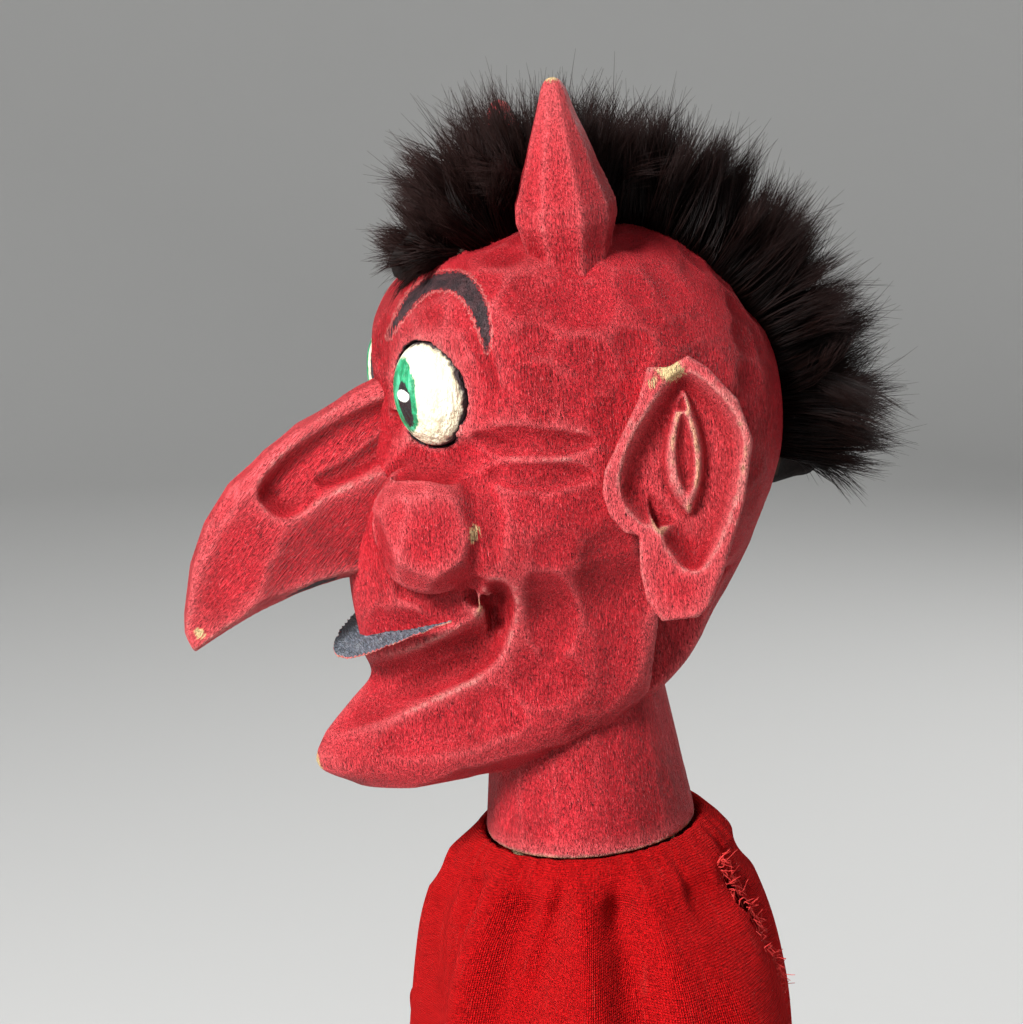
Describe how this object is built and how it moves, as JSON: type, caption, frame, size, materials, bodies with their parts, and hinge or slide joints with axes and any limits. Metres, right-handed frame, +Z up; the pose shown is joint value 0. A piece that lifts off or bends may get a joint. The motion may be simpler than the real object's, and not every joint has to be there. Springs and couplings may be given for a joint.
{
  "type": "hand puppet",
  "caption": "Glove puppet of a horned devil: carved stained wooden head with a long nose and a fur crest on a turned neck, red cloth glove with sleeves and carved hands.",
  "frame": {"origin": "centre of the opening at the hem, where the operator's hand goes in", "axes": "+Z up from the hem to the head, -Y the way the face looks, +X the puppet's left"},
  "size_m": [0.2958, 0.1377, 0.4051],
  "materials": {
    "stained_wood": "hand-carved limewood, red stain, matt with worn edges",
    "eye_paint": "cream paint with a green iris, satin",
    "cardboard": "raw grey-brown board",
    "hide": "thin tanned skin under the fur",
    "fur": "black-brown fur pile",
    "red_cotton": "plain-weave cotton, washed and frayed",
    "twine": "natural twisted twine"
  },
  "bodies": {
    "glove": {"glove_front": "red_cotton", "glove_back": "red_cotton"},
    "collar": {"collar_gather": "red_cotton", "neck_cord": "twine"},
    "head": {"head_block": "stained_wood", "neck": "stained_wood", "finger_tube": "cardboard", "nose": "stained_wood", "left_ear": "stained_wood", "right_ear": "stained_wood", "left_horn": "stained_wood", "right_horn": "stained_wood", "left_eye": "eye_paint", "right_eye": "eye_paint", "crest_hide": "hide", "crest_fur": "fur"},
    "left_upper_arm": {"left_sleeve": "red_cotton"},
    "left_forearm": {"left_cuff": "red_cotton", "left_hand": "stained_wood", "left_wrist_cord": "twine"},
    "right_upper_arm": {"right_sleeve": "red_cotton"},
    "right_forearm": {"right_cuff": "red_cotton", "right_hand": "stained_wood", "right_wrist_cord": "twine"}
  },
  "joints": [
    {"name": "head_nod", "type": "hinge", "parent": "glove", "child": "collar", "pos_m": [0, 0.00042, 0.25802], "axis": [1, 0, 0], "range_deg": [-20, 25]},
    {"name": "head_turn", "type": "hinge", "parent": "collar", "child": "head", "pos_m": [0, 0, 0.262], "axis": [0, -0.1045, 0.9945], "range_deg": [-40, 40]},
    {"name": "left_shoulder_raise", "type": "hinge", "parent": "glove", "child": "left_upper_arm", "pos_m": [0.054, 0, 0.212], "axis": [0, -1, 0], "range_deg": [-5, 85]},
    {"name": "left_elbow_reach", "type": "hinge", "parent": "left_upper_arm", "child": "left_forearm", "pos_m": [0.08677, 0, 0.18906], "axis": [-0.5736, 0, -0.8192], "range_deg": [-5, 70]},
    {"name": "right_shoulder_raise", "type": "hinge", "parent": "glove", "child": "right_upper_arm", "pos_m": [-0.054, 0, 0.212], "axis": [0, 1, 0], "range_deg": [-5, 85]},
    {"name": "right_elbow_reach", "type": "hinge", "parent": "right_upper_arm", "child": "right_forearm", "pos_m": [-0.08677, 0, 0.18906], "axis": [-0.5736, 0, 0.8192], "range_deg": [-5, 70]}
  ]
}
